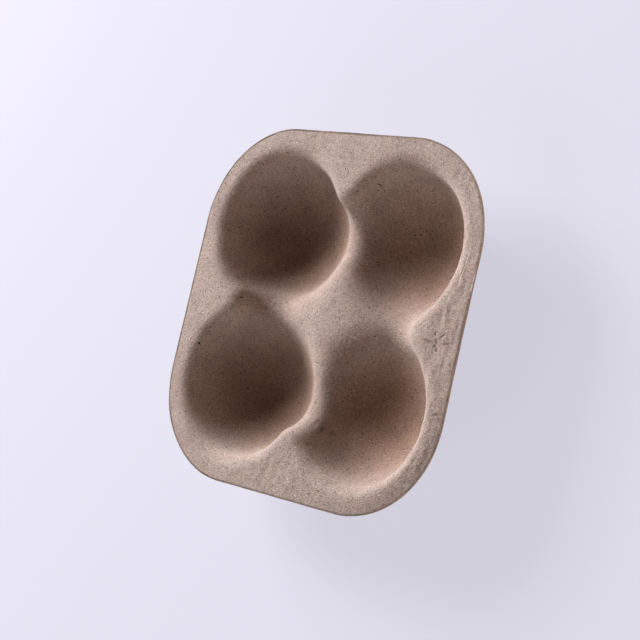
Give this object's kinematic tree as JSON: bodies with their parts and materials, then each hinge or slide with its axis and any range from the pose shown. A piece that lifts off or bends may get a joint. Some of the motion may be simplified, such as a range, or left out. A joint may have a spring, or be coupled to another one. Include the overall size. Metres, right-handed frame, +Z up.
{
  "type": "moulded pulp fruit tray",
  "caption": "Square tray of grey-brown moulded paper pulp with rounded corners, round bowls for fruit, low saddles between them and a sunken middle.",
  "frame": {"origin": "on the ground below the middle of the tray, where its two planes of symmetry meet", "axes": "+Z up out of the open side; +X and +Y along the two sides of the tray"},
  "size_m": [0.1804, 0.1804, 0.0372],
  "materials": {
    "pulp": "matte, fibrous moulded paper pulp, grey-brown"
  },
  "bodies": {
    "root": {"fruit_tray": "pulp"}
  },
  "joints": []
}
